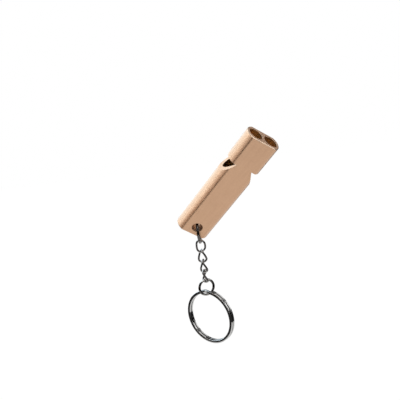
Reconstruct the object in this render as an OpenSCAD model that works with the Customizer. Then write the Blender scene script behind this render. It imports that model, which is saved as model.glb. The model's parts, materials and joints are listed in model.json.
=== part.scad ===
// Double-tube survival whistle on a short curb chain with a split key ring.
// The origin is the middle of the lanyard hole. The whistle is held there, leaning, and the chain hangs
// straight down along -Z.

/* [Body] */
// Length of the body from the mouth end to the lower end
body_length = 50; // [47:0.5:60]
// Width across the two round sides
body_width = 14; // [13.6:0.1:16]
// Thickness between the two broad faces
body_thickness = 8; // [7.4:0.1:9]
// Radius of the round sides
side_radius = 4.75; // [4.4:0.05:5.5]
// Chamfer around the edges of both ends
end_chamfer = 0.3; // [0.1:0.05:0.6]

/* [Bores] */
// Diameter of each air bore
bore_d = 5.6; // [4.6:0.1:6]
// Distance between the axes of the two bores
bore_spacing = 6.5; // [6.3:0.1:7]
// Depth of the left bore from the mouth end
left_bore_depth = 38; // [28:0.5:39]
// Depth of the right bore from the mouth end
right_bore_depth = 35; // [28:0.5:39]
// Point angle of the drill at the closed ends
drill_point_angle = 118; // [90:1:140]
// Chamfer around the mouth of each bore
bore_chamfer = 0.1; // [0.05:0.05:0.3]

/* [Windows] */
// Distance from the mouth end to the square face of each window
window_from_mouth = 13; // [10:0.5:16]
// Depth of each window, measured in from the round side
window_depth = 3.8; // [2.5:0.1:5]
// Length of the sloping lip along the body
ramp_length = 6.7; // [5:0.1:10]

/* [Fipple plugs] */
// Depth of the outer end of each plug below the mouth end
plug_recess = 4; // [3:0.5:6]
// Height of the air slit left above the flat of each plug
windway_height = 0.9; // [0.6:0.1:1.4]

/* [Lanyard hole] */
// Diameter of the hole through the broad faces
hole_d = 3.6; // [3.2:0.1:4.2]
// Distance from the lower end to the middle of the hole
hole_from_end = 4; // [3.4:0.1:5]
// Countersink at both rims of the hole
hole_chamfer = 0.4; // [0.3:0.05:0.7]

/* [Pose] */
// Angle by which the body leans to the right in the plane of its broad faces
lean = 40; // [20:1:60]
// Angle by which the mouth end tips towards the front
tip = 27; // [5:1:35]

/* [Body ring] */
// Wire diameter of the ring through the lanyard hole
ring_wire_d = 1.1; // [0.9:0.05:1.3]
// Room between the inside of the ring and the broad faces, when it sits level
ring_room = 0.7; // [0.6:0.05:1]
// Clearance between the ring and the rims that it hangs on
ring_clearance = 0.1; // [0.05:0.01:0.15]

/* [Chain] */
// Wire diameter of the links
link_wire_d = 0.8; // [0.6:0.05:0.9]
// Inside length of a link
link_inner_length = 4.4; // [4.2:0.1:7]
// Outside width of a link
link_width = 4.3; // [4.2:0.1:5]
// Angle by which each link is twisted between its two bends
link_twist = 90; // [80:1:100]
// Angle by which each of the two upper links is turned about the vertical against the piece above
upper_link_turn = 42; // [34:1:44]
// The same angle for the lower links
lower_link_turn = 21; // [16:1:30]
// Clearance between two hooked wires
wire_clearance = 0.08; // [0.06:0.01:0.12]

/* [Jump ring] */
// Wire diameter of the ring between the chain and the split ring
jump_wire_d = 1; // [0.9:0.05:1.2]
// Outside diameter of that ring
jump_d = 7.4; // [7:0.1:9]
// Angle of its plane about the vertical, from the X axis
jump_turn = 27; // [20:1:60]
// Width of the butt joint in both round rings
joint_gap = 0.2; // [0.1:0.05:0.4]

/* [Split ring] */
// Outside diameter of the split ring
split_d = 23; // [20:0.5:30]
// Width of its flat wire, across the ring
split_wire_w = 1.2; // [1:0.05:1.6]
// Thickness of its flat wire, along the ring's axis
split_wire_t = 0.8; // [0.7:0.05:1.1]
// Corner chamfer of its flat wire
split_wire_chamfer = 0.2; // [0.1:0.05:0.3]
// Gap between its two turns
turn_gap = 0.45; // [0.42:0.01:0.6]
// Angle around the ring over which the wire steps from one turn to the other, at the top
step_angle = 26; // [22:1:40]
// Angle of its plane about the vertical, from the X axis
split_turn = -36; // [-45:1:-20]

/* [Hidden] */
$fn = 96;
aluminium_gold = [0.78, 0.61, 0.46];
plug_gold = [0.66, 0.49, 0.34];
nickel = [0.74, 0.74, 0.76];
over = 1;
link_count = 4;
upper_links = 2;
bend_steps = 14;
leg_steps = 5;
wire_sides = 8;
split_steps = 84;

// Heights along the body, from the middle of the lanyard hole
mouth_z = body_length - hole_from_end;
base_z = -hole_from_end;
window_z = mouth_z - window_from_mouth;
half_width = body_width / 2;
half_thickness = body_thickness / 2;
side_x = half_width - side_radius;
bore_r = bore_d / 2;
bore_x = bore_spacing / 2;
hole_r = hole_d / 2;

// The body ring hangs on the rims of the hole at both faces
ring_inner_r = half_thickness + ring_room;
ring_r = ring_inner_r + ring_wire_d / 2;
ring_seat_r = ring_inner_r - ring_clearance;
deep_rim_drop = hole_r + sqrt(pow(ring_seat_r, 2) - pow(half_thickness - hole_chamfer, 2));
face_rim_drop = hole_r + hole_chamfer + sqrt(pow(ring_seat_r, 2) - pow(half_thickness, 2));
ring_drop = min(deep_rim_drop, face_rim_drop);
chain_y = ring_drop * sin(tip);
ring_z = -ring_drop * cos(tip);

// Each hooked wire sits above the wire that it holds
link_bend_r = (link_width - link_wire_d) / 2;
link_half_length = (link_inner_length + link_wire_d) / 2;
link_leg = 2 * (link_half_length - link_bend_r);
link_pitch = link_inner_length - wire_clearance;
first_link_z = ring_z - ring_r + (ring_wire_d + link_wire_d) / 2 + wire_clearance - link_half_length;
last_bend_z = first_link_z - (link_count - 1) * link_pitch - link_half_length;
jump_r = (jump_d - jump_wire_d) / 2;
jump_z = last_bend_z + (link_wire_d + jump_wire_d) / 2 + wire_clearance - jump_r;
split_inner_r = split_d / 2 - split_wire_w;
split_mid_r = split_inner_r + split_wire_w / 2;
split_layer = (split_wire_t + turn_gap) / 2;
split_end_angle = 90 - step_angle / 2;

// The flat wire sits on the curve of the jump ring with its two edges
jump_inner_r = jump_r - jump_wire_d / 2;
seat_reach = split_wire_t / 2 / sin(jump_turn - split_turn);
seat_rise = jump_inner_r - sqrt(pow(jump_inner_r, 2) - pow(seat_reach, 2));
split_z = jump_z - jump_inner_r + seat_rise + wire_clearance - split_inner_r;

// Turns the upright body into its held pose
module held() {
  rotate([tip, 0, 0])
    rotate([0, lean, 0])
      children();
}

// Round side of the body, with both ends chamfered
module side_column() {
  rotate_extrude()
    polygon([
      [0, base_z], [side_radius - end_chamfer, base_z], [side_radius, base_z + end_chamfer],
      [side_radius, mouth_z - end_chamfer], [side_radius - end_chamfer, mouth_z], [0, mouth_z]
    ]);
}

// Slab that gives the two broad faces, with both ends chamfered
module face_slab() {
  inset = half_thickness - end_chamfer;
  rotate([90, 0, 90])
    linear_extrude(height = body_width + over, center = true)
      polygon([
        [-inset, base_z], [inset, base_z], [half_thickness, base_z + end_chamfer],
        [half_thickness, mouth_z - end_chamfer], [inset, mouth_z], [-inset, mouth_z],
        [-half_thickness, mouth_z - end_chamfer], [-half_thickness, base_z + end_chamfer]
      ]);
}

module body_blank() {
  core_y = (half_thickness + side_radius) / 2;
  intersection() {
    face_slab();
    union() {
      for (side = [-1, 1])
        translate([side * side_x, 0, 0])
          side_column();
      translate([-side_x, -core_y, base_z])
        cube([2 * side_x, 2 * core_y, body_length]);
    }
  }
}

// Drilled bore, measured down from the mouth end
module bore_cut(depth) {
  point = bore_r / tan(drill_point_angle / 2);
  translate([0, 0, mouth_z])
    rotate_extrude()
      polygon([
        [0, -depth - point], [bore_r, -depth], [bore_r, -bore_chamfer],
        [bore_r + bore_chamfer + over, over], [0, over]
      ]);
}

// Window on the right side: a square face towards the mouth and a ramp on the far side
module window_cut() {
  outer_depth = window_depth + over;
  inner_x = half_width - window_depth;
  rotate([90, 0, 0])
    linear_extrude(height = body_thickness + over, center = true)
      polygon([
        [inner_x, window_z], [inner_x + outer_depth, window_z],
        [inner_x + outer_depth, window_z - ramp_length * outer_depth / window_depth]
      ]);
}

module lanyard_hole_cut() {
  rim = hole_r + hole_chamfer + over;
  rotate([90, 0, 0])
    rotate_extrude()
      polygon([
        [0, -half_thickness - over], [rim, -half_thickness - over],
        [hole_r, -half_thickness + hole_chamfer], [hole_r, half_thickness - hole_chamfer],
        [rim, half_thickness + over], [0, half_thickness + over]
      ]);
}

module whistle_body() {
  color(aluminium_gold)
    held()
      difference() {
        body_blank();
        translate([-bore_x, 0, 0])
          bore_cut(left_bore_depth);
        translate([bore_x, 0, 0])
          bore_cut(right_bore_depth);
        window_cut();
        mirror([1, 0, 0])
          window_cut();
        lanyard_hole_cut();
      }
}

// Plug pressed into the right bore, with a flat that leaves the air slit on the outer side
module fipple_plug() {
  flat_x = bore_r - windway_height;
  translate([bore_x, 0, window_z])
    difference() {
      cylinder(h = window_from_mouth - plug_recess, r = bore_r);
      translate([flat_x, -bore_r, -over])
        cube([bore_d, bore_d, window_from_mouth + 2 * over]);
    }
}

module left_fipple_plug() {
  color(plug_gold)
    held()
      mirror([1, 0, 0])
        fipple_plug();
}

module right_fipple_plug() {
  color(plug_gold)
    held()
      fipple_plug();
}

// Round wire ring in the XZ plane, with its butt joint at the given angle from the X axis
module wire_ring(r, wire_d, joint_angle) {
  rotate([90, 0, 0])
    difference() {
      rotate_extrude()
        translate([r, 0])
          circle(d = wire_d);
      rotate([0, 0, joint_angle])
        translate([r - wire_d, -joint_gap / 2, -wire_d])
          cube([2 * wire_d, joint_gap, 2 * wire_d]);
    }
}

module body_ring() {
  joint_angle = 215;
  color(nickel)
    translate([0, chain_y, ring_z])
      rotate([0, 0, 90])
        wire_ring(ring_r, ring_wire_d, joint_angle);
}

module jump_ring() {
  joint_angle = 55;
  color(nickel)
    translate([0, chain_y, jump_z])
      rotate([0, 0, jump_turn])
        wire_ring(jump_r, jump_wire_d, joint_angle);
}

// Flat outline of a link: two round bends joined by two straight legs
function link_outline() =
  let (bend_z = link_half_length - link_bend_r)
  concat(
    [for (i = [0 : bend_steps - 1])
      [link_bend_r * cos(180 * i / bend_steps), bend_z + link_bend_r * sin(180 * i / bend_steps)]],
    [for (i = [0 : leg_steps - 1])
      [-link_bend_r, bend_z - link_leg * i / leg_steps]],
    [for (i = [0 : bend_steps - 1])
      [-link_bend_r * cos(180 * i / bend_steps), -bend_z - link_bend_r * sin(180 * i / bend_steps)]],
    [for (i = [0 : leg_steps - 1])
      [link_bend_r, -bend_z + link_leg * i / leg_steps]]
  );

// Angle by which the link's plane has turned at a height, counted from its upper bend
function twist_at(z) = link_twist * (link_half_length - z) / (2 * link_half_length);
function twisted(p) = [p[0] * cos(twist_at(p[1])), p[0] * sin(twist_at(p[1])), p[1]];
function unit(v) = v / norm(v);

// Ring of points around the wire at one place on the link
function wire_section(path, i) =
  let (
    count = len(path),
    along = unit(path[(i + 1) % count] - path[(i + count - 1) % count]),
    turn = twist_at(path[i][2]),
    out = unit(cross(along, [-sin(turn), cos(turn), 0])),
    side = cross(out, along)
  )
  [for (k = [0 : wire_sides - 1])
    path[i] + link_wire_d / 2 * (cos(360 * k / wire_sides) * out + sin(360 * k / wire_sides) * side)];

// Triangles between ring a and ring b of a swept wire
function band(a, b) =
  [for (k = [0 : wire_sides - 1], half = [0, 1])
    let (next = (k + 1) % wire_sides)
    half == 0
      ? [a * wire_sides + k, b * wire_sides + next, a * wire_sides + next]
      : [a * wire_sides + k, b * wire_sides + k, b * wire_sides + next]];

// Twisted curb link, closed on itself
module curb_link() {
  path = [for (p = link_outline()) twisted(p)];
  count = len(path);
  polyhedron(
    points = [for (i = [0 : count - 1]) each wire_section(path, i)],
    faces = [for (i = [0 : count - 1]) each band(i, (i + 1) % count)]
  );
}

// Angle of a link's upper bend about the vertical, from the X axis
function link_azimuth(index) =
  -upper_link_turn * min(index, upper_links) - lower_link_turn * max(index - upper_links, 0);

module chain_link(index) {
  color(nickel)
    translate([0, chain_y, first_link_z - (index - 1) * link_pitch])
      rotate([0, 0, link_azimuth(index)])
        curb_link();
}

// The split ring's wire runs once round at the back, steps forward, and runs once round at the front.
// A place on it is given by its sweep, the angle run from the hidden end.
split_sweep = 720 - step_angle;
function eased(t) = t * t * (3 - 2 * t);
function step_share(sweep) = max(0, min(1, (sweep - 360 + step_angle) / step_angle));
function split_height(sweep) = split_layer * (2 * eased(step_share(sweep)) - 1);
function split_point(sweep, across, along) =
  let (angle = split_end_angle - sweep, r = split_mid_r + across)
  [r * cos(angle), r * sin(angle), split_height(sweep) + along];

// Corners of the flat wire's section, across the ring and along its axis
split_section =
  let (w = split_wire_w / 2, t = split_wire_t / 2, c = split_wire_chamfer)
  [[w, t - c], [w - c, t], [c - w, t], [-w, t - c], [-w, c - t], [c - w, -t], [w - c, -t], [w, c - t]];
split_points =
  [for (i = [0 : split_steps], corner = split_section)
    split_point(split_sweep * i / split_steps, corner[0], corner[1])];

// Least distance between the two turns, measured on points of the faces that look at each other
gap_step = 2;
least_turn_gap = min([
  for (sweep = [0 : gap_step : split_sweep - 360], shift = [-step_angle / 2 : gap_step : step_angle / 2])
    let (other = min(split_sweep, sweep + 360 + shift))
    norm(split_point(other, 0, -split_wire_t / 2) - split_point(sweep, 0, split_wire_t / 2))
]);
echo(least_turn_gap = least_turn_gap);

module split_ring() {
  last = split_steps * wire_sides;
  color(nickel)
    translate([0, chain_y, split_z])
      rotate([0, 0, split_turn])
        rotate([90, 0, 0])
          polyhedron(
            points = split_points,
            faces = concat(
              [for (i = [0 : split_steps - 1]) each band(i, i + 1)],
              [[for (k = [0 : wire_sides - 1]) k]],
              [[for (k = [wire_sides - 1 : -1 : 0]) last + k]]
            )
          );
}

whistle_body();
left_fipple_plug();
right_fipple_plug();
body_ring();
chain_link(1);  // chain_link_1
chain_link(2);  // chain_link_2
chain_link(3);  // chain_link_3
chain_link(4);  // chain_link_4
jump_ring();
split_ring();
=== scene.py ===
# %% [markdown]
# # Dressing a survival whistle
# The frame holds the whistle as it was engineered: a drilled aluminium body, two plugs that shape the air
# slits, a wire ring, four twisted chain links, a jump ring and a split key ring. In this lesson each of
# those pieces gets the surface that the real one has. Nothing is moved or resized: every place is read
# from the frame.

# %% Load the frame
import json
import math

import bmesh
import bpy
from mathutils import Matrix, Vector


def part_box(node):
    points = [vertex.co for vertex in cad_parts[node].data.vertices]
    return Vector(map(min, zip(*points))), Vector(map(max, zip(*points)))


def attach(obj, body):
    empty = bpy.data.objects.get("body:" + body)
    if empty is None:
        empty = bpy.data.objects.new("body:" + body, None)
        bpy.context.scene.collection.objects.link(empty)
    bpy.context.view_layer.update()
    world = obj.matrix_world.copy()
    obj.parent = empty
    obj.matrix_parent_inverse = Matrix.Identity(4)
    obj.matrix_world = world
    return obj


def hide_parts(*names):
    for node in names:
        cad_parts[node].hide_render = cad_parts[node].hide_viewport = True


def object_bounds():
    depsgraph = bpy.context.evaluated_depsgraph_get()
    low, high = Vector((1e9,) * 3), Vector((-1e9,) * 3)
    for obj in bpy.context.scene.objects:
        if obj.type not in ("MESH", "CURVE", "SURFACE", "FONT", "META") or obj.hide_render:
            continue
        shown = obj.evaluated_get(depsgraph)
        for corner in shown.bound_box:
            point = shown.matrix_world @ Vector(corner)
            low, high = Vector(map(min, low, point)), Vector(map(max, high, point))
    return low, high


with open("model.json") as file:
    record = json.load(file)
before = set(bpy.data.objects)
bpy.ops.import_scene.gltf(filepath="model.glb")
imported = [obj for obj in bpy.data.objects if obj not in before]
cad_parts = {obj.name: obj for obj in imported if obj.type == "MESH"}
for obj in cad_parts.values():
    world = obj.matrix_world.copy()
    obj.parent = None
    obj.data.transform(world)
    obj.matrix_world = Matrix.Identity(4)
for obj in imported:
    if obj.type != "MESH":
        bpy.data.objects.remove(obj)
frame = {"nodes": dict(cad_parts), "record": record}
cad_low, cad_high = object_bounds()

MM = 0.001
FULL_TURN = 2 * math.pi
nodes = frame["nodes"]
mounts = {mount["name"]: mount for mount in frame["record"]["mounts"]}
print("CAD box in mm:", [round((high - low) / MM, 1) for low, high in zip(cad_low, cad_high)])

# %% [markdown]
# ## Two helpers
# Shader trees and geometry trees are built in the same way: add a node, set its properties, fill its
# inputs. One small function does that for both kinds, so the trees below read as lists of nodes.
# Colours are written as sRGB hex values, as a colour picker shows them, and shaders want linear light.
# A Mix node has sockets of the same name for each type of data, so they are told apart by their numbers.

# %% Helpers
# Sockets of a Mix node
MIX_SHARE = 0
FIRST_VALUE = 2
SECOND_VALUE = 3
FIRST_COLOUR = 6
SECOND_COLOUR = 7
MIXED_VALUE = 0
MIXED_COLOUR = 2


def add_node(tree, kind, inputs=(), **settings):
    """Adds one node. Inputs come as a list or by name, and each is a value or another node's socket."""
    node = tree.nodes.new(kind)
    for name, value in settings.items():
        setattr(node, name, value)
    for key, value in (inputs.items() if isinstance(inputs, dict) else enumerate(inputs)):
        if isinstance(value, bpy.types.NodeSocket):
            tree.links.new(value, node.inputs[key])
        else:
            node.inputs[key].default_value = value
    return node


def linear(hex_colour):
    """Linear RGBA of an sRGB hex colour such as #c09a78, by the formula of the sRGB standard."""
    parts = [int(hex_colour[i:i + 2], 16) / 255 for i in (1, 3, 5)]
    return [p / 12.92 if p <= 0.04045 else ((p + 0.055) / 1.055) ** 2.4 for p in parts] + [1.0]


print("middle grey in linear light:", round(linear("#808080")[0], 3))

# %% [markdown]
# ## The camera
# A product shot from a quarter of a metre, a little above the whistle and turned a few degrees to its right.
# The picture is also tilted, so the chain hangs slightly across the frame. The camera aims at a point beside
# the body, because the whistle sits low and to the right in the square picture.

# %% Camera
CAMERA_AZIMUTH = math.radians(3.97)
CAMERA_ELEVATION = math.radians(10.33)
CAMERA_ROLL = math.radians(7.82)
CAMERA_DISTANCE = 249.06 * MM
CAMERA_AIM = Vector((2.228, 1.649, 8.182)) * MM
CAMERA_LENS = 55.7
CAMERA_NEAR = 5 * MM

camera_back = Vector((
    math.sin(CAMERA_AZIMUTH) * math.cos(CAMERA_ELEVATION),
    -math.cos(CAMERA_AZIMUTH) * math.cos(CAMERA_ELEVATION),
    math.sin(CAMERA_ELEVATION),
))
level_right = Vector((math.cos(CAMERA_AZIMUTH), math.sin(CAMERA_AZIMUTH), 0))
level_up = camera_back.cross(level_right)
camera_right = math.cos(CAMERA_ROLL) * level_right - math.sin(CAMERA_ROLL) * level_up
camera_up = math.cos(CAMERA_ROLL) * level_up + math.sin(CAMERA_ROLL) * level_right
camera_turn = Matrix((camera_right, camera_up, camera_back)).transposed()
camera = bpy.data.objects.new("camera", bpy.data.cameras.new("camera"))
camera.data.lens = CAMERA_LENS
camera.data.clip_start = CAMERA_NEAR
camera.matrix_world = Matrix.Translation(CAMERA_AIM + CAMERA_DISTANCE * camera_back) @ camera_turn.to_4x4()
bpy.context.collection.objects.link(camera)
bpy.context.scene.camera = camera
bpy.context.scene.view_settings.view_transform = "Standard"
print("camera at mm:", [round(c / MM, 1) for c in camera.matrix_world.translation])

# %% [markdown]
# ## White table, dim room
# Bare metal shows little but what stands around it, so the set matters as much as the finish. Here it is a
# white table under a soft ceiling, in a dim room. The table and the panels of the next step give the satin
# body its even tone, and the dim gaps between them give the wire its dark lines. To the camera the
# background is plain white everywhere, which the light path node can tell from a reflection.

# %% World
WHITE = linear("#ffffff")
WHITE_LEVEL = 1.0
ROOM_LEVEL = 0.008
CEILING_LEVEL = 0.7
CEILING_EDGE = math.sin(math.radians(48))
CEILING_FULL = math.sin(math.radians(64))

world = bpy.data.worlds.new("dim_room")
bpy.context.scene.world = world
world.use_nodes = True
sky = world.node_tree
sky.nodes.clear()
direction = add_node(sky, "ShaderNodeTexCoord").outputs["Generated"]
height = add_node(sky, "ShaderNodeSeparateXYZ", [direction]).outputs["Z"]
around = add_node(sky, "ShaderNodeMapRange", [
    height, CEILING_EDGE, CEILING_FULL, ROOM_LEVEL, CEILING_LEVEL], interpolation_type="SMOOTHSTEP")
to_camera = add_node(sky, "ShaderNodeLightPath").outputs["Is Camera Ray"]
level = add_node(sky, "ShaderNodeMix", {
    MIX_SHARE: to_camera, FIRST_VALUE: around.outputs[0], SECOND_VALUE: WHITE_LEVEL}, data_type="FLOAT")
background = add_node(sky, "ShaderNodeBackground", {
    "Color": WHITE, "Strength": level.outputs[MIXED_VALUE]})
add_node(sky, "ShaderNodeOutputWorld", {"Surface": background.outputs[0]})
print("world made:", world.name)

# %% Table
TABLE_DROP = 300 * MM
TABLE_SIZE = 6000 * MM
TABLE_PAINT = linear("#f2f1ee")
TABLE_WHITE_RADIUS = 600 * MM
TABLE_DIM_RADIUS = 660 * MM
TABLE_DIM_LEVEL = 0.012
TABLE_GLOW_SHARE = 0.9
CAMERA_GLOW = 1.1
table_z = cad_low.z - TABLE_DROP


def table_paint():
    """Pale paint that keeps the shadow, looks white to the camera, and shows in the metal as a round pool
    of light that ends in the dim room."""
    material = bpy.data.materials.new("white_table_top")
    material.use_nodes = True
    tree = material.node_tree
    tree.nodes.clear()
    place = add_node(tree, "ShaderNodeTexCoord").outputs["Object"]
    reach = add_node(tree, "ShaderNodeVectorMath", [place, (0, 0, table_z)],
                     operation="DISTANCE").outputs["Value"]
    far = add_node(tree, "ShaderNodeMapRange", [
        reach, TABLE_WHITE_RADIUS, TABLE_DIM_RADIUS, CAMERA_GLOW, TABLE_DIM_LEVEL],
        interpolation_type="SMOOTHSTEP").outputs[0]
    path = add_node(tree, "ShaderNodeLightPath").outputs
    glow = add_node(tree, "ShaderNodeMix", {
        MIX_SHARE: path["Is Camera Ray"], FIRST_VALUE: far, SECOND_VALUE: CAMERA_GLOW}, data_type="FLOAT")
    seen = add_node(tree, "ShaderNodeMath", [path["Is Camera Ray"], path["Is Glossy Ray"]],
                    operation="MAXIMUM").outputs[0]
    seen = add_node(tree, "ShaderNodeMath", [seen, path["Is Transmission Ray"]], operation="MAXIMUM")
    share = add_node(tree, "ShaderNodeMath", [seen.outputs[0], TABLE_GLOW_SHARE], operation="MULTIPLY")
    paint = add_node(tree, "ShaderNodeBsdfDiffuse", {"Color": TABLE_PAINT})
    light = add_node(tree, "ShaderNodeEmission", {"Strength": glow.outputs[MIXED_VALUE]})
    both = add_node(tree, "ShaderNodeMixShader", [share.outputs[0], paint.outputs[0], light.outputs[0]])
    add_node(tree, "ShaderNodeOutputMaterial", {"Surface": both.outputs[0]})
    return material


half = TABLE_SIZE / 2
table_mesh = bpy.data.meshes.new("table_top")
table_mesh.from_pydata(
    [(-half, -half, table_z), (half, -half, table_z), (half, half, table_z), (-half, half, table_z)],
    [], [(0, 1, 2, 3)])
table_mesh.materials.append(table_paint())
table_top = bpy.data.objects.new("table_top", table_mesh)
bpy.context.collection.objects.link(table_top)
print("table at mm:", round(table_z / MM, 1))

# %% [markdown]
# ## Standing panels
# A photographer shapes metal with panels: each one is a bright patch in the reflection, and what lies between
# them stays dark. A large cool box on the left draws the bright line along the round side of the body, a low
# warm panel softens the crease beside it, and the others give the mouth, the bores and the wire their lights.
# Each is an area lamp that stands upright around the whistle and faces it. Its power is worked out from its
# radiance, which is how bright it looks in a mirror, so a panel can change its size and keep its tone.

# %% Panels
COOL_WHITE = linear("#dff2ff")
SOFT_WHITE = linear("#fff5f1")
WARM_BOUNCE = linear("#ffc9a0")


def standing_panel(name, azimuth, distance, width, bottom, top, radiance, colour):
    """An upright area lamp. The azimuth is in degrees from +X, and the lengths are in mm."""
    data = bpy.data.lights.new(name, "AREA")
    data.shape = "RECTANGLE"
    data.size = width * MM
    data.size_y = (top - bottom) * MM
    data.energy = radiance * math.pi * data.size * data.size_y
    data.color = colour[:3]
    outward = Matrix.Rotation(math.radians(azimuth), 3, "Z") @ Vector((1, 0, 0))
    place = (distance * outward + Vector((0, 0, (top + bottom) / 2))) * MM
    lamp = bpy.data.objects.new(name, data)
    lamp.matrix_world = Matrix.Translation(place) @ outward.to_track_quat("Z", "Y").to_matrix().to_4x4()
    bpy.context.collection.objects.link(lamp)
    print(name, "power in watts:", round(data.energy, 2))


# Bright line and soft fall-off along the left round side
standing_panel("left_soft_box", azimuth=142, distance=440, width=760, bottom=-10, top=1100,
               radiance=2.4, colour=COOL_WHITE)
standing_panel("front_left_box", azimuth=196, distance=440, width=310, bottom=-20, top=270,
               radiance=1.5, colour=WHITE)
standing_panel("low_left_panel", azimuth=207, distance=250, width=150, bottom=-50, top=0,
               radiance=0.7, colour=WARM_BOUNCE)
# Land of the mouth, and the insides of the rings
standing_panel("back_panel", azimuth=48, distance=400, width=320, bottom=100, top=200,
               radiance=0.4, colour=SOFT_WHITE)
standing_panel("high_back_panel", azimuth=50, distance=400, width=290, bottom=230, top=420,
               radiance=1.1, colour=WHITE)
standing_panel("right_back_panel", azimuth=20, distance=400, width=160, bottom=20, top=200,
               radiance=1.5, colour=WHITE)
# Walls of the bores, and the front of the wire
standing_panel("right_soft_box", azimuth=-34, distance=420, width=300, bottom=0, top=560,
               radiance=1.8, colour=WHITE)
standing_panel("front_panel", azimuth=-85, distance=500, width=280, bottom=-120, top=230,
               radiance=0.2, colour=WHITE)
# Pale line along the front and left edge of the mouth
standing_panel("high_front_box", azimuth=-80, distance=420, width=300, bottom=200, top=1100,
               radiance=2.2, colour=WHITE)

# %% [markdown]
# ## Gold anodised aluminium
# The body was milled from a drawn bar, blasted with fine beads and dyed in the anodising bath. Blasting
# leaves a satin surface: reflections spread into broad soft bands, with a fine grain up close. The dye sits
# in the oxide, so the metal itself looks coloured, and it wears first on the edges that rub in a pocket.
# The finish reads the whistle's own axes, which two of its mounts give, so that streaks run along the bar
# and the worn edges follow the real ends.

# %% The whistle's own axes
own_z = Vector(mounts["mouth_end"]["axis"]).normalized()
own_y = Vector(mounts["finger_grip"]["axis"]).normalized()
own_x = own_y.cross(own_z)
own_turn = Matrix((own_x, own_y, own_z)).transposed()
mouth_z = Vector(mounts["mouth_end"]["pos_m"]).dot(own_z) / MM
print("mouth end above the lanyard hole, mm:", round(mouth_z, 2))

# %% Sizes of the body in mm
BODY_LENGTH = 50.0
BODY_WIDTH = 14.0
BODY_THICKNESS = 8.0
SIDE_RADIUS = 4.75
END_CHAMFER = 0.3
BORE_D = 5.6
BORE_SPACING = 6.5
# Depth of the left and of the right bore, by the sign of its X
BORE_DEPTHS = {-1: 38.0, 1: 35.0}
DRILL_POINT_ANGLE = math.radians(118)
BORE_CHAMFER = 0.1
WINDOW_FROM_MOUTH = 13.0
WINDOW_DEPTH = 3.8
RAMP_LENGTH = 6.7
HOLE_D = 3.6
HOLE_CHAMFER = 0.4

bore_r = BORE_D / 2
hole_r = HOLE_D / 2
drill_point = bore_r / math.tan(DRILL_POINT_ANGLE / 2)
drill_end_z = mouth_z - max(BORE_DEPTHS.values()) - drill_point
base_z = mouth_z - BODY_LENGTH
window_z = mouth_z - WINDOW_FROM_MOUTH
window_inner = BODY_WIDTH / 2 - WINDOW_DEPTH
half_thickness = BODY_THICKNESS / 2
side_x = BODY_WIDTH / 2 - SIDE_RADIUS
crease_x = side_x + math.sqrt(SIDE_RADIUS ** 2 - half_thickness ** 2)
print("crease between flat and round side at x =", round(crease_x, 2), "mm")

# %% Colours and marks of the body
GOLD = linear("#cda584")
GOLD_DEEP = linear("#c49b7a")
GOLD_WORN = linear("#e8d2bc")
# Painted reflection: an amber tone in the bores that stands in for light bouncing between their walls
BORE_PAINTED_BOUNCE = linear("#cda670")
SATIN_LEAST = 0.4
SATIN_MOST = 0.48
DRILLED_ROUGHNESS = 0.45
GRAIN_STRENGTH = 0.06
# The clear oxide over the dye adds a pale sheen where the light strikes at a slant
OXIDE_WEIGHT = 0.35
OXIDE_ROUGHNESS = 0.3
OXIDE_IOR = 1.7
# Sizes of the marks in mm. The blasted grain is really about 0.08 mm, and is drawn coarser so that it shows
BLAST_GRAIN = 0.16
GRAIN_DEPTH = 0.02
DYE_CLOUD = 5.0
STREAK_WIDTH = 0.35
STREAK_LENGTH = 9.0
EDGE_WEAR = 0.3
DRILL_EDGE = 0.02
# Finer layers of noise on top of the first
CLOUD_DETAIL = 3.0
STREAK_DETAIL = 2.0
GRAIN_DETAIL = 2.0
# A face counts as a worn edge when it leans away from the end by these angles
SLANT_START = math.cos(math.radians(11))
SLANT_FULL = math.cos(math.radians(32))
WEAR_LEAST = 0.35
WEAR_MOST = 0.9
# Noise keeps to the middle of its span, so these values stand for its lowest and highest tones
GRAIN_LOW = 0.35
GRAIN_HIGH = 0.6
NOISE_LOW = 0.3
NOISE_HIGH = 0.7
print("gold in linear light:", [round(c, 3) for c in GOLD[:3]])

# %% [markdown]
# ### Where the colour changes
# Two places differ from the rest. Inside the bores a painted reflection, an amber tone, stands in for light
# that passes the dye again and again. On the slanted edges of both ends the dye is worn. Painting a mask by
# eye would do for one view. Here each mask is worked out from the body's own sizes, so it stays on its bore
# or edge from any side.

# %% Masks for bores and worn edges
def in_bores(tree, at):
    """1 within the bores and 0 elsewhere, from the whistle's own coordinates in mm."""
    from_middle = add_node(tree, "ShaderNodeMath", [at["X"]], operation="ABSOLUTE").outputs[0]
    beside = add_node(tree, "ShaderNodeMath", [from_middle, BORE_SPACING / 2],
                      operation="SUBTRACT").outputs[0]
    across = add_node(tree, "ShaderNodeCombineXYZ", {"X": beside, "Y": at["Y"]}).outputs[0]
    from_axis = add_node(tree, "ShaderNodeVectorMath", [across], operation="LENGTH").outputs["Value"]
    near = add_node(tree, "ShaderNodeMath", [from_axis, bore_r + DRILL_EDGE],
                    operation="LESS_THAN").outputs[0]
    in_reach = add_node(tree, "ShaderNodeMath", [at["Z"], drill_end_z], operation="GREATER_THAN").outputs[0]
    return add_node(tree, "ShaderNodeMath", [near, in_reach], operation="MULTIPLY").outputs[0]


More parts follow.
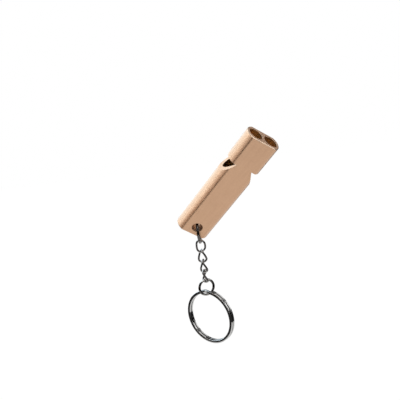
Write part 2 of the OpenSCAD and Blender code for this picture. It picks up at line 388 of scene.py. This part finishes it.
def on_worn_edges(tree, at, grain):
    """How much dye has gone: most on the slanted edges of both ends, broken up by the grain."""
    middle = mouth_z - BODY_LENGTH / 2
    from_middle = add_node(tree, "ShaderNodeMath", [at["Z"], middle], operation="SUBTRACT").outputs[0]
    from_middle = add_node(tree, "ShaderNodeMath", [from_middle], operation="ABSOLUTE").outputs[0]
    at_end = add_node(tree, "ShaderNodeMath", [from_middle, BODY_LENGTH / 2 - EDGE_WEAR],
                      operation="GREATER_THAN").outputs[0]
    facing = add_node(tree, "ShaderNodeNewGeometry").outputs["Normal"]
    slant = add_node(tree, "ShaderNodeVectorMath", [facing, own_z], operation="DOT_PRODUCT").outputs["Value"]
    slant = add_node(tree, "ShaderNodeMath", [slant], operation="ABSOLUTE").outputs[0]
    slant = add_node(tree, "ShaderNodeMapRange", [slant, SLANT_START, SLANT_FULL, 0.0, 1.0]).outputs[0]
    broken = add_node(tree, "ShaderNodeMapRange", [
        grain, GRAIN_LOW, GRAIN_HIGH, WEAR_LEAST, WEAR_MOST]).outputs[0]
    wear = add_node(tree, "ShaderNodeMath", [at_end, broken], operation="MULTIPLY").outputs[0]
    return add_node(tree, "ShaderNodeMath", [wear, slant], operation="MULTIPLY").outputs[0]


print("amber from the mouth down to z =", round(drill_end_z, 2), "mm")

# %% Finish of the body
def anodised_gold():
    """Bead-blasted gold anodised aluminium: an even satin tone with soft bands and paler edges."""
    material = bpy.data.materials.new("bead_blasted_gold_anodised_aluminium")
    material.use_nodes = True
    tree = material.node_tree
    shader = tree.nodes["Principled BSDF"]
    place = add_node(tree, "ShaderNodeTexCoord").outputs["Object"]
    own = add_node(tree, "ShaderNodeMapping", {
        "Vector": place, "Rotation": own_turn.inverted().to_euler(), "Scale": (1 / MM,) * 3}).outputs[0]
    at = add_node(tree, "ShaderNodeSeparateXYZ", [own]).outputs
    # Dye that took a little unevenly over a few millimetres
    cloud = add_node(tree, "ShaderNodeTexNoise", {
        "Vector": own, "Scale": 1 / DYE_CLOUD, "Detail": CLOUD_DETAIL}).outputs[0]
    # Faint lines left along the bar by drawing, under the blasting
    along = add_node(tree, "ShaderNodeMapping", {
        "Vector": own, "Scale": (1 / STREAK_WIDTH, 1 / STREAK_WIDTH, 1 / STREAK_LENGTH)}).outputs[0]
    streak = add_node(tree, "ShaderNodeTexNoise", {
        "Vector": along, "Scale": 1.0, "Detail": STREAK_DETAIL}).outputs[0]
    # Fine pits of the blasting
    grain = add_node(tree, "ShaderNodeTexNoise", {
        "Vector": own, "Scale": 1 / BLAST_GRAIN, "Detail": GRAIN_DETAIL}).outputs[0]
    drilled = in_bores(tree, at)
    worn = on_worn_edges(tree, at, grain)
    tone = add_node(tree, "ShaderNodeMix", {
        MIX_SHARE: cloud, FIRST_COLOUR: GOLD_DEEP, SECOND_COLOUR: GOLD}, data_type="RGBA")
    # Amber painted into the bores, a painted reflection of light bouncing between their walls
    tone = add_node(tree, "ShaderNodeMix", {
        MIX_SHARE: drilled, FIRST_COLOUR: tone.outputs[MIXED_COLOUR], SECOND_COLOUR: BORE_PAINTED_BOUNCE},
        data_type="RGBA")
    colour = add_node(tree, "ShaderNodeMix", {
        MIX_SHARE: worn, FIRST_COLOUR: tone.outputs[MIXED_COLOUR], SECOND_COLOUR: GOLD_WORN},
        data_type="RGBA")
    satin = add_node(tree, "ShaderNodeMapRange", [streak, NOISE_LOW, NOISE_HIGH, SATIN_LEAST, SATIN_MOST])
    rough = add_node(tree, "ShaderNodeMix", {
        MIX_SHARE: drilled, FIRST_VALUE: satin.outputs[0], SECOND_VALUE: DRILLED_ROUGHNESS},
        data_type="FLOAT")
    relief = add_node(tree, "ShaderNodeBump", {
        "Strength": GRAIN_STRENGTH, "Distance": GRAIN_DEPTH * MM, "Height": grain})
    tree.links.new(colour.outputs[MIXED_COLOUR], shader.inputs["Base Color"])
    tree.links.new(rough.outputs[MIXED_VALUE], shader.inputs["Roughness"])
    tree.links.new(relief.outputs[0], shader.inputs["Normal"])
    shader.inputs["Metallic"].default_value = 1.0
    shader.inputs["Coat Weight"].default_value = OXIDE_WEIGHT
    shader.inputs["Coat Roughness"].default_value = OXIDE_ROUGHNESS
    shader.inputs["Coat IOR"].default_value = OXIDE_IOR
    return material


gold_finish = anodised_gold()
print("finish made:", gold_finish.name)

# %% [markdown]
# ## The body
# The bar has two flat faces between two round sides, so its section is two arcs and two straight lines.
# The solid is lofted from that outline, and then cut as a workshop would cut it: two drilled bores, a
# sloping window on each round side and the lanyard hole across the flats. Booleans do the cutting. The
# frame's own solid has the same sizes but flat triangles, so this one is rounder and has softened edges.

# %% Outline of the bar
ARC_STEPS = 64
CREASE_STEPS = 5
CREASE_ROUND = math.radians(5)


def bar_outline(inset):
    """Points of the bar's section, drawn in by inset, anticlockwise from the right side."""
    radius = SIDE_RADIUS - inset
    face = half_thickness - inset
    reach = math.asin(face / radius)
    quarter = []
    for i in range(ARC_STEPS + 1):
        turn = (reach - CREASE_ROUND) * i / ARC_STEPS
        quarter.append((side_x + radius * math.cos(turn), radius * math.sin(turn)))
    # The crease is eased over a short curve between the last arc point and the flat
    last = Vector(quarter[-1])
    corner = Vector((side_x + radius * math.cos(reach), face))
    flat = corner - Vector(((corner - last).length, 0))
    for i in range(1, CREASE_STEPS + 1):
        t = i / CREASE_STEPS
        point = (1 - t) ** 2 * last + 2 * t * (1 - t) * corner + t ** 2 * flat
        quarter.append((point.x, point.y))
    top = quarter + [(-x, y) for x, y in reversed(quarter)]
    return top + [(x, -y) for x, y in reversed(top[1:-1])]


print("outline points:", len(bar_outline(0)))

# %% Solids from rings of points
SPIN_STEPS = 128


def mesh_object(name, points, faces):
    """A new object from points in mm on the whistle's own axes, with its normals outward."""
    mesh = bpy.data.meshes.new(name)
    mesh.from_pydata(points, [], faces)
    shape = bmesh.new()
    shape.from_mesh(mesh)
    bmesh.ops.recalc_face_normals(shape, faces=shape.faces)
    shape.to_mesh(mesh)
    shape.free()
    piece = bpy.data.objects.new(name, mesh)
    bpy.context.collection.objects.link(piece)
    return piece


def lofted(name, rings):
    """A closed solid through rings of equal count."""
    count = len(rings[0])
    faces = [tuple(range(count)), tuple(range((len(rings) - 1) * count, len(rings) * count))]
    for r in range(len(rings) - 1):
        for i in range(count):
            j = (i + 1) % count
            faces.append((r * count + i, r * count + j, (r + 1) * count + j, (r + 1) * count + i))
    return mesh_object(name, [p for ring in rings for p in ring], faces)


def spun(name, profile):
    """A closed solid turned about Z from (radius, height) pairs, with a flat cap at both ends."""
    turns = [FULL_TURN * i / SPIN_STEPS for i in range(SPIN_STEPS)]
    return lofted(name, [
        [(radius * math.cos(t), radius * math.sin(t), height) for t in turns] for radius, height in profile])


print("points round a drilled hole:", SPIN_STEPS)

# %% Bar with softened ends
# How much the softening fills out a chamfer, and how far it laps onto the faces beside it
EASE = 0.03
LAP = 0.05
end_rings = [
    (END_CHAMFER + LAP, 0), (END_CHAMFER - 2 * EASE, EASE),
    (EASE, END_CHAMFER - 2 * EASE), (0, END_CHAMFER + LAP)]
rings = [[(x, y, base_z + rise) for x, y in bar_outline(inset)] for inset, rise in end_rings]
rings += [[(x, y, mouth_z - rise) for x, y in bar_outline(inset)] for inset, rise in reversed(end_rings)]
whistle = lofted("whistle_body_dressed", rings)
print("bar faces:", len(whistle.data.polygons))

# %% Cutters
# How far a cutter stands out of the bar, and the radius of the blunt middle of a drill's point
OVER = 1.0
DRILL_TIP = 0.25

cutters = []
for side, depth in BORE_DEPTHS.items():
    tip_z = mouth_z - depth - drill_point * (1 - DRILL_TIP / bore_r)
    bore = spun("bore_cutter", [
        (DRILL_TIP, tip_z), (bore_r, mouth_z - depth), (bore_r, mouth_z - BORE_CHAMFER - EASE),
        (bore_r + EASE, mouth_z - BORE_CHAMFER + EASE), (bore_r + BORE_CHAMFER - EASE, mouth_z - EASE),
        (bore_r + BORE_CHAMFER + LAP, mouth_z), (bore_r + BORE_CHAMFER + LAP, mouth_z + OVER)])
    bore.data.transform(Matrix.Translation((side * BORE_SPACING / 2, 0, 0)))
    cutters.append(bore)
    deep = WINDOW_DEPTH + OVER
    corners = [
        (window_inner, window_z), (window_inner + deep, window_z),
        (window_inner + deep, window_z - RAMP_LENGTH * deep / WINDOW_DEPTH)]
    cutters.append(lofted("window_cutter", [
        [(side * x, y, z) for x, z in corners] for y in (-BODY_THICKNESS, BODY_THICKNESS)]))
rim = hole_r + HOLE_CHAMFER + OVER
hole = spun("hole_cutter", [
    (rim, -half_thickness - OVER), (hole_r, -half_thickness + HOLE_CHAMFER),
    (hole_r, half_thickness - HOLE_CHAMFER), (rim, half_thickness + OVER)])
hole.data.transform(Matrix.Rotation(math.pi / 2, 4, "X"))
cutters.append(hole)
print("cutters:", len(cutters))

# %% Cut the bar
def plain_mesh(piece):
    """Replaces a piece's mesh by its evaluated one and removes its modifiers."""
    graph = bpy.context.evaluated_depsgraph_get()
    mesh = bpy.data.meshes.new_from_object(piece.evaluated_get(graph))
    piece.modifiers.clear()
    piece.data = mesh
    return mesh


for cutter in cutters:
    cut = whistle.modifiers.new("cut", "BOOLEAN")
    cut.operation = "DIFFERENCE"
    cut.solver = "EXACT"
    cut.object = cutter
body_mesh = plain_mesh(whistle)
for cutter in cutters:
    bpy.data.objects.remove(cutter)
print("faces after the cuts:", len(body_mesh.polygons))

# %% Take the burr off the windows
WINDOW_DEBURR = 0.09
DEBURR_STEPS = 3
# Distance in mm within which a point counts as lying on a cut
NEAR = 0.01


def deburred(ends):
    """Whether an edge of the body is an outer edge of a window, which the maker takes the burr off."""
    for p in ends:
        if math.hypot(abs(p.x) - BORE_SPACING / 2, p.y) < bore_r + NEAR:
            return False
    square = all(abs(p.z - window_z) < NEAR for p in ends)
    ramp = all(
        abs((abs(p.x) - window_inner) * RAMP_LENGTH / WINDOW_DEPTH + p.z - window_z) < NEAR for p in ends)
    return square != ramp


window_edges = body_mesh.attributes.new("bevel_weight_edge", "FLOAT", "EDGE")
for edge in body_mesh.edges:
    ends = [body_mesh.vertices[i].co for i in edge.vertices]
    window_edges.data[edge.index].value = 1.0 if deburred(ends) else 0.0
deburr = whistle.modifiers.new("deburr", "BEVEL")
deburr.limit_method = "WEIGHT"
deburr.width = WINDOW_DEBURR
deburr.segments = DEBURR_STEPS
deburr.use_clamp_overlap = False
body_mesh = plain_mesh(whistle)
print("faces after deburring:", len(body_mesh.polygons))

# %% Smooth the body and put it in its place
SHARP = math.radians(40)

body_mesh.shade_smooth()
body_mesh.set_sharp_from_angle(angle=SHARP)
weighted = whistle.modifiers.new("flat_faces_stay_flat", "WEIGHTED_NORMAL")
weighted.keep_sharp = True
body_mesh = plain_mesh(whistle)
body_mesh.transform(own_turn.to_4x4() @ Matrix.Scale(MM, 4))
body_mesh.materials.clear()
body_mesh.materials.append(gold_finish)
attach(whistle, "whistle")
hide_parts("whistle_body")
print("body faces:", len(body_mesh.polygons))

# %% [markdown]
# ## Fipple plugs
# A plug pressed into each bore leaves a thin slit along one side, which throws the breath at the edge of the
# window. The plugs are turned from the same bar and dyed in the same bath. Their shape in the frame is
# right, so they keep it and only take the finish of the body.

# %% Finish of the plugs
for name in ("left_fipple_plug", "right_fipple_plug"):
    nodes[name].data.materials.clear()
    nodes[name].data.materials.append(gold_finish)
print("plugs dressed")

# %% [markdown]
# ## Nickel plate
# The chain and the rings are steel wire with a nickel plate. It mirrors the set, so each wire shows a dark
# line for the dim room and bright lines for the table and the panels. Drawing the wire and tumbling the parts
# leave faint uneven patches, which blur the mirror a little. The split ring has the bright plate. On the
# small rings and the links the same plate is painted much darker, as painted shade, but for the bends where
# they rub
# on each other: there a rub polish and a painted glint make it bright. Where that is, an attribute of the
# wire forms will say.

# %% Colours and marks of the plate
NICKEL = linear("#c7c6c5")
NICKEL_WARM = linear("#b4b3b1")
# Painted shade: the links and the small rings get a much darker plate than the split ring
NICKEL_PAINTED_SHADE = linear("#65615e")
NICKEL_PAINTED_SHADE_WARM = linear("#464341")
# Bright bends: a real rub polish together with a painted glint where the wire turns up or down
RUB_POLISH_AND_GLINT_NICKEL = linear("#bab7b4")
MIRROR_LEAST = 0.03
MIRROR_MOST = 0.08
MARK_STRENGTH = 0.012
# Sizes of the marks in mm
TUMBLE_PATCH = 0.9
DRAW_MARK = 0.25
MARK_DEPTH = 0.02
# Finer layers of noise on top of the first
PATCH_DETAIL = 3.0
MARK_DETAIL = 1.0
# Name of the attribute that says where a wire rubs on its neighbour and a glint is painted
RUB_AND_GLINT_MARK = "rubbed_and_glinting"
print("nickel in linear light:", [round(c, 3) for c in NICKEL[:3]])

# %% Finish of the wire
def nickel_plate(name, bright, warm, rub_and_glint_colour):
    """Nickel plate on drawn steel wire: a mirror with faint cloudy patches, and bright bends with rub polish
    and a painted glint.
    """
    material = bpy.data.materials.new(name)
    material.use_nodes = True
    tree = material.node_tree
    shader = tree.nodes["Principled BSDF"]
    place = add_node(tree, "ShaderNodeTexCoord").outputs["Object"]
    patch = add_node(tree, "ShaderNodeTexNoise", {
        "Vector": place, "Scale": 1 / (TUMBLE_PATCH * MM), "Detail": PATCH_DETAIL}).outputs[0]
    mark = add_node(tree, "ShaderNodeTexNoise", {
        "Vector": place, "Scale": 1 / (DRAW_MARK * MM), "Detail": MARK_DETAIL}).outputs[0]
    plate = add_node(tree, "ShaderNodeMix", {
        MIX_SHARE: patch, FIRST_COLOUR: warm, SECOND_COLOUR: bright}, data_type="RGBA")
    rubbed_and_glinting = add_node(tree, "ShaderNodeAttribute", attribute_name=RUB_AND_GLINT_MARK).outputs["Fac"]
    colour = add_node(tree, "ShaderNodeMix", {
        MIX_SHARE: rubbed_and_glinting, FIRST_COLOUR: plate.outputs[MIXED_COLOUR], SECOND_COLOUR: rub_and_glint_colour},
        data_type="RGBA")
    rough = add_node(tree, "ShaderNodeMapRange", [patch, NOISE_LOW, NOISE_HIGH, MIRROR_LEAST, MIRROR_MOST])
    relief = add_node(tree, "ShaderNodeBump", {
        "Strength": MARK_STRENGTH, "Distance": MARK_DEPTH * MM, "Height": mark})
    tree.links.new(colour.outputs[MIXED_COLOUR], shader.inputs["Base Color"])
    tree.links.new(rough.outputs[0], shader.inputs["Roughness"])
    tree.links.new(relief.outputs[0], shader.inputs["Normal"])
    shader.inputs["Metallic"].default_value = 1.0
    return material


nickel_finish = nickel_plate("bright_nickel_plate", NICKEL, NICKEL_WARM, NICKEL)
# The links and the small rings take the darker plate, which is painted shade
chain_finish_painted_shade = nickel_plate("nickel_plate_painted_shade", NICKEL_PAINTED_SHADE, NICKEL_PAINTED_SHADE_WARM, RUB_POLISH_AND_GLINT_NICKEL)
print("finishes made:", nickel_finish.name, chain_finish_painted_shade.name)

# %% [markdown]
# ## Wire forms with Geometry Nodes
# Everything below the whistle is wire that follows a path, which is what Geometry Nodes do best: draw the
# path as a curve, and sweep a section along it. Each tree has named inputs for its sizes. One helper marks
# the top and bottom of a form, where it bears on its neighbours and a glint is painted. Another runs a tree
# once for each body, and keeps the result as a plain mesh.

# %% Parts of a tree
# Shares of a form's half height between which the plate turns bright: rub polish and a painted glint
RUB_AND_GLINT_START = 0.7
RUB_AND_GLINT_FULL = 0.95


def new_tree(name, **inputs):
    """A geometry tree with the given inputs, and its input and output nodes."""
    tree = bpy.data.node_groups.new(name, "GeometryNodeTree")
    tree.interface.new_socket("Geometry", in_out="OUTPUT", socket_type="NodeSocketGeometry")
    for label, kind in inputs.items():
        tree.interface.new_socket(label, in_out="INPUT", socket_type="NodeSocket" + kind)
    print("tree made:", name, "with inputs", ", ".join(inputs))
    return tree, add_node(tree, "NodeGroupInput").outputs, add_node(tree, "NodeGroupOutput")


def finish_tree(tree, given, end, shape):
    """Turns and places the swept shape, then realises it and sets its material."""
    turn = add_node(tree, "ShaderNodeCombineXYZ", {"X": given["lay_back"], "Z": given["turn"]}).outputs[0]
    placed = add_node(tree, "GeometryNodeTransform", {
        "Geometry": shape, "Rotation": turn, "Translation": given["centre"]}).outputs[0]
    smooth = add_node(tree, "GeometryNodeSetShadeSmooth", [placed]).outputs[0]
    real = add_node(tree, "GeometryNodeRealizeInstances", [smooth]).outputs[0]
    made = add_node(tree, "GeometryNodeSetMaterial", {"Geometry": real, "Material": given["material"]})
    tree.links.new(made.outputs[0], end.inputs[0])


def mark_bends(tree, shape, half_height, axis):
    """Stores on each point how near it lies to the top or bottom of a wire form, where it rubs and where a
    glint is painted.
    """
    spot = add_node(tree, "GeometryNodeInputPosition").outputs[0]
    height = add_node(tree, "ShaderNodeSeparateXYZ", [spot]).outputs[axis]
    height = add_node(tree, "ShaderNodeMath", [height], operation="ABSOLUTE").outputs[0]
    share = add_node(tree, "ShaderNodeMath", [height, half_height], operation="DIVIDE").outputs[0]
    rub_and_glint = add_node(tree, "ShaderNodeMapRange", [share, RUB_AND_GLINT_START, RUB_AND_GLINT_FULL, 0.0, 1.0],
                   interpolation_type="SMOOTHSTEP").outputs[0]
    return add_node(tree, "GeometryNodeStoreNamedAttribute", {
        "Geometry": shape, "Name": RUB_AND_GLINT_MARK, "Value": rub_and_glint}, data_type="FLOAT", domain="POINT").outputs[0]


print("bright bends from", RUB_AND_GLINT_START, "to", RUB_AND_GLINT_FULL, "of a form's half height")

# %% [markdown]
# ### Round rings
# The body ring and the jump ring are bent from round wire and closed with a plain butt joint, so the path
# is an arc that stops just short of a full turn.

# %% Tree of a round ring
WIRE_SIDES = 28
RING_STEPS = 144
JOINT_GAP = 0.2 * MM

ring_tree, given, end = new_tree(
    "butt_jointed_ring", diameter="Float", wire="Float", joint="Float", lay_back="Float", turn="Float",
    centre="Vector", material="Material")
wire_radius = add_node(ring_tree, "ShaderNodeMath", [given["wire"], 0.5], operation="MULTIPLY").outputs[0]
across = add_node(ring_tree, "ShaderNodeMath", [given["diameter"], given["wire"]],
                  operation="SUBTRACT").outputs[0]
radius = add_node(ring_tree, "ShaderNodeMath", [across, 0.5], operation="MULTIPLY").outputs[0]
opening = add_node(ring_tree, "ShaderNodeMath", [JOINT_GAP, radius], operation="DIVIDE").outputs[0]
half_opening = add_node(ring_tree, "ShaderNodeMath", [opening, 0.5], operation="MULTIPLY").outputs[0]
start = add_node(ring_tree, "ShaderNodeMath", [given["joint"], half_opening], operation="ADD").outputs[0]
sweep = add_node(ring_tree, "ShaderNodeMath", [FULL_TURN, opening], operation="SUBTRACT").outputs[0]
path = add_node(ring_tree, "GeometryNodeCurveArc", {
    "Resolution": RING_STEPS, "Radius": radius, "Start Angle": start, "Sweep Angle": sweep}).outputs[0]
section = add_node(ring_tree, "GeometryNodeCurvePrimitiveCircle", {
    "Resolution": WIRE_SIDES, "Radius": wire_radius}).outputs[0]
swept = add_node(ring_tree, "GeometryNodeCurveToMesh", {
    "Curve": path, "Profile Curve": section, "Fill Caps": True}).outputs[0]
marked = mark_bends(ring_tree, swept, radius, "Y")
finish_tree(ring_tree, given, end, marked)

# %% Round rings
# Outside diameter and wire in mm, then the angles of the joint and of the ring's plane in degrees
ROUND_RINGS = {
    "body_ring": {"diameter": 11.6, "wire": 1.1, "joint": 215, "turn": 90},
    "jump_ring": {"diameter": 7.4, "wire": 1.0, "joint": 55, "turn": 27},
}


def run_tree(tree, node, **values):
    """Runs a tree for one body and makes its result stand for the node of that name."""
    piece = bpy.data.objects.new(node + "_dressed", bpy.data.meshes.new(node))
    bpy.context.collection.objects.link(piece)
    form = piece.modifiers.new("form", "NODES")
    form.node_group = tree
    for item in tree.interface.items_tree:
        if item.in_out == "INPUT":
            form[item.identifier] = values[item.name]
    mesh = plain_mesh(piece)
    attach(piece, node)
    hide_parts(node)
    print(node, "faces:", len(mesh.polygons), "size mm:", [round(d / MM, 2) for d in piece.dimensions])


def middle_of(node):
    """Middle of a node's box in the frame."""
    low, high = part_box(node)
    return (low + high) / 2


for name, ring in ROUND_RINGS.items():
    run_tree(ring_tree, name, diameter=ring["diameter"] * MM, wire=ring["wire"] * MM,
             joint=math.radians(ring["joint"]), lay_back=math.pi / 2, turn=math.radians(ring["turn"]),
             centre=middle_of(name), material=chain_finish_painted_shade)

# %% [markdown]
# ### Curb links
# A curb link is a long loop of wire that has been twisted, so that its two bends stand square to each other
# and the chain lies flat. The path starts as a rectangle with fully rounded ends. Each of its points is then
# turned about the link's length, by an angle that grows from one bend to the other.

# %% Loop of a curb link
BEND_STEPS = 24
LINK_STEPS = 140
# A fillet of a whole half width would leave no straight piece at the bend
NEARLY_HALF = 0.4999

link_tree, given, end = new_tree(
    "twisted_curb_link", wire="Float", length="Float", width="Float", twist="Float", lay_back="Float",
    turn="Float", centre="Vector", material="Material")
wire_radius = add_node(link_tree, "ShaderNodeMath", [given["wire"], 0.5], operation="MULTIPLY").outputs[0]
across = add_node(link_tree, "ShaderNodeMath", [given["width"], given["wire"]],
                  operation="SUBTRACT").outputs[0]
tall = add_node(link_tree, "ShaderNodeMath", [given["length"], given["wire"]], operation="ADD").outputs[0]
half_tall = add_node(link_tree, "ShaderNodeMath", [tall, 0.5], operation="MULTIPLY").outputs[0]
bend = add_node(link_tree, "ShaderNodeMath", [across, NEARLY_HALF], operation="MULTIPLY").outputs[0]
loop = add_node(link_tree, "GeometryNodeCurvePrimitiveQuadrilateral", {"Width": across, "Height": tall})
loop = add_node(link_tree, "GeometryNodeFilletCurve", {
    "Curve": loop.outputs[0], "Count": BEND_STEPS, "Radius": bend}, mode="POLY").outputs[0]
loop = add_node(link_tree, "GeometryNodeResampleCurve", {"Curve": loop, "Count": LINK_STEPS}).outputs[0]
upright = add_node(link_tree, "GeometryNodeTransform", {
    "Geometry": loop, "Rotation": (math.pi / 2, 0, 0)}).outputs[0]

# %% Twist of a curb link
spot = add_node(link_tree, "GeometryNodeInputPosition").outputs[0]
height = add_node(link_tree, "ShaderNodeSeparateXYZ", [spot]).outputs["Z"]
share = add_node(link_tree, "ShaderNodeMath", [height, tall], operation="DIVIDE").outputs[0]
share = add_node(link_tree, "ShaderNodeMath", [0.5, share], operation="SUBTRACT").outputs[0]
angle = add_node(link_tree, "ShaderNodeMath", [share, given["twist"]], operation="MULTIPLY").outputs[0]
turned = add_node(link_tree, "ShaderNodeVectorRotate", {"Vector": spot, "Angle": angle},
                  rotation_type="Z_AXIS").outputs[0]
twisted = add_node(link_tree, "GeometryNodeSetPosition", {
    "Geometry": upright, "Position": turned}).outputs[0]
section = add_node(link_tree, "GeometryNodeCurvePrimitiveCircle", {
    "Resolution": WIRE_SIDES, "Radius": wire_radius}).outputs[0]
swept = add_node(link_tree, "GeometryNodeCurveToMesh", {
    "Curve": twisted, "Profile Curve": section}).outputs[0]
marked = mark_bends(link_tree, swept, half_tall, "Z")
finish_tree(link_tree, given, end, marked)
print("nodes in the tree of a link:", len(link_tree.nodes))

# %% Curb links
LINK_WIRE = 0.8 * MM
LINK_INNER_LENGTH = 4.4 * MM
LINK_WIDTH = 4.3 * MM
LINK_TWIST = math.radians(90)
LINK_COUNT = 4
# Each link is turned against the one above, the upper two by more than the lower two
UPPER_LINKS = 2
UPPER_LINK_TURN = math.radians(42)
LOWER_LINK_TURN = math.radians(21)

# The links and the split ring hang in line below each other, and the jump ring gives that line
chain_line = middle_of("jump_ring")
for number in range(1, LINK_COUNT + 1):
    name = "chain_link_%d" % number
    hang = Vector((chain_line.x, chain_line.y, middle_of(name).z))
    upper = min(number, UPPER_LINKS)
    turn = -UPPER_LINK_TURN * upper - LOWER_LINK_TURN * (number - upper)
    run_tree(link_tree, name, wire=LINK_WIRE, length=LINK_INNER_LENGTH, width=LINK_WIDTH, twist=LINK_TWIST,
             lay_back=0.0, turn=turn, centre=hang, material=chain_finish_painted_shade)

# %% [markdown]
# ### Split ring
# A split ring is one flat wire wound round twice. It runs round at the back, steps forward at the top and
# runs round again at the front, so both cut ends show beside the step. The path is a straight line whose
# points are moved onto that winding.

# %% Winding of the split ring
SPLIT_STEPS = 420

split_tree, given, end = new_tree(
    "two_turn_split_ring", diameter="Float", wire_width="Float", wire_thickness="Float", turn_gap="Float",
    step="Float", lay_back="Float", turn="Float", centre="Vector", material="Material")
line = add_node(split_tree, "GeometryNodeCurvePrimitiveLine").outputs[0]
line = add_node(split_tree, "GeometryNodeResampleCurve", {"Curve": line, "Count": SPLIT_STEPS}).outputs[0]
# Angle run along the wire, and the place on the circle that it gives
factor = add_node(split_tree, "GeometryNodeSplineParameter").outputs["Factor"]
whole = add_node(split_tree, "ShaderNodeMath", [2 * FULL_TURN, given["step"]],
                 operation="SUBTRACT").outputs[0]
run = add_node(split_tree, "ShaderNodeMath", [factor, whole], operation="MULTIPLY").outputs[0]
half_step = add_node(split_tree, "ShaderNodeMath", [given["step"], 0.5], operation="MULTIPLY").outputs[0]
first = add_node(split_tree, "ShaderNodeMath", [math.pi / 2, half_step], operation="SUBTRACT").outputs[0]
angle = add_node(split_tree, "ShaderNodeMath", [first, run], operation="SUBTRACT").outputs[0]
across = add_node(split_tree, "ShaderNodeMath", [given["diameter"], given["wire_width"]],
                  operation="SUBTRACT").outputs[0]
radius = add_node(split_tree, "ShaderNodeMath", [across, 0.5], operation="MULTIPLY").outputs[0]
cosine = add_node(split_tree, "ShaderNodeMath", [angle], operation="COSINE").outputs[0]
sine = add_node(split_tree, "ShaderNodeMath", [angle], operation="SINE").outputs[0]
x = add_node(split_tree, "ShaderNodeMath", [radius, cosine], operation="MULTIPLY").outputs[0]
y = add_node(split_tree, "ShaderNodeMath", [radius, sine], operation="MULTIPLY").outputs[0]

# %% Step and section of the split ring
SPLIT_CORNER = 0.14 * MM
CORNER_STEPS = 6

layers = add_node(split_tree, "ShaderNodeMath", [given["wire_thickness"], given["turn_gap"]],
                  operation="ADD").outputs[0]
front = add_node(split_tree, "ShaderNodeMath", [layers, 0.5], operation="MULTIPLY").outputs[0]
back = add_node(split_tree, "ShaderNodeMath", [layers, -0.5], operation="MULTIPLY").outputs[0]
step_start = add_node(split_tree, "ShaderNodeMath", [FULL_TURN, given["step"]],
                      operation="SUBTRACT").outputs[0]
depth = add_node(split_tree, "ShaderNodeMapRange", [run, step_start, FULL_TURN, back, front],
                 interpolation_type="SMOOTHSTEP").outputs[0]
spot = add_node(split_tree, "ShaderNodeCombineXYZ", [x, y, depth]).outputs[0]
wound = add_node(split_tree, "GeometryNodeSetPosition", {"Geometry": line, "Position": spot}).outputs[0]
wound = add_node(split_tree, "GeometryNodeSetCurveNormal", {"Curve": wound}, mode="Z_UP").outputs[0]
section = add_node(split_tree, "GeometryNodeCurvePrimitiveQuadrilateral", {
    "Width": given["wire_width"], "Height": given["wire_thickness"]}).outputs[0]
section = add_node(split_tree, "GeometryNodeFilletCurve", {
    "Curve": section, "Count": CORNER_STEPS, "Radius": SPLIT_CORNER}, mode="POLY").outputs[0]
swept = add_node(split_tree, "GeometryNodeCurveToMesh", {
    "Curve": wound, "Profile Curve": section, "Fill Caps": True}).outputs[0]
finish_tree(split_tree, given, end, swept)
print("nodes in the tree of the split ring:", len(split_tree.nodes))

# %% Split ring
SPLIT_D = 23 * MM
SPLIT_WIRE_WIDTH = 1.2 * MM
SPLIT_WIRE_THICKNESS = 0.8 * MM
TURN_GAP = 0.45 * MM
STEP_ANGLE = math.radians(26)
SPLIT_TURN = math.radians(-36)

split_centre = Vector((chain_line.x, chain_line.y, middle_of("split_ring").z))
run_tree(split_tree, "split_ring", diameter=SPLIT_D, wire_width=SPLIT_WIRE_WIDTH,
         wire_thickness=SPLIT_WIRE_THICKNESS, turn_gap=TURN_GAP, step=STEP_ANGLE, lay_back=math.pi / 2,
         turn=SPLIT_TURN, centre=split_centre, material=nickel_finish)
